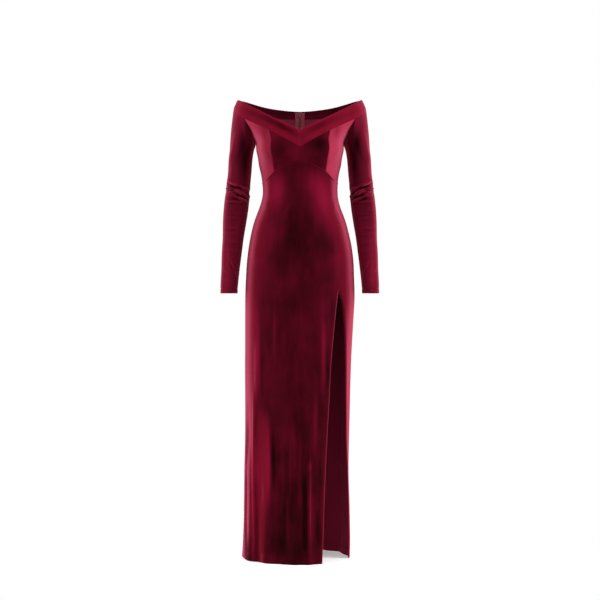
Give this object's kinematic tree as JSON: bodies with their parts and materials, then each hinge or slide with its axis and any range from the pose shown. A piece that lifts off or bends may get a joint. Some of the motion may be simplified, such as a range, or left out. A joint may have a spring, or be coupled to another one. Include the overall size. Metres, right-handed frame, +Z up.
{
  "type": "maxi dress",
  "caption": "Off-the-shoulder long-sleeved velvet maxi dress, filled out as worn, with a folded band neckline, arched under-bust seam, high front slit and back zip.",
  "frame": {"origin": "centre of the body at underarm level, where the wearer's chest holds the dress", "axes": "+Z up along the body, -Y to the front, +X to the wearer's left, the side of the slit"},
  "size_m": [0.4828, 0.2857, 1.3984],
  "materials": {
    "velvet": "wine stretch velvet, short nap, bright at grazing angles, near black facing",
    "zip_tape": "matt woven polyester tape with a closed nylon coil",
    "zip_metal": "wine lacquered zinc"
  },
  "bodies": {
    "dress": {"band_left": "velvet", "band_right": "velvet", "cup_centre_left": "velvet", "cup_centre_right": "velvet", "cup_side_left": "velvet", "cup_side_right": "velvet", "bodice_back_left": "velvet", "bodice_back_right": "velvet", "sleeve_left": "velvet", "sleeve_right": "velvet", "skirt_front_centre": "velvet", "skirt_front_side_left": "velvet", "skirt_front_side_right": "velvet", "skirt_back_left": "velvet", "skirt_back_right": "velvet", "zip_tape_left": "zip_tape", "zip_tape_right": "zip_tape", "zip_coil": "zip_tape", "zip_slider": "zip_metal"},
    "zip_pull": {"zip_pull": "zip_metal"}
  },
  "joints": [
    {"name": "zip_pull_tilt", "type": "hinge", "parent": "dress", "child": "zip_pull", "pos_m": [0, 0.1, 0.1104], "axis": [1, 0, 0], "range_deg": [0, 150]}
  ]
}
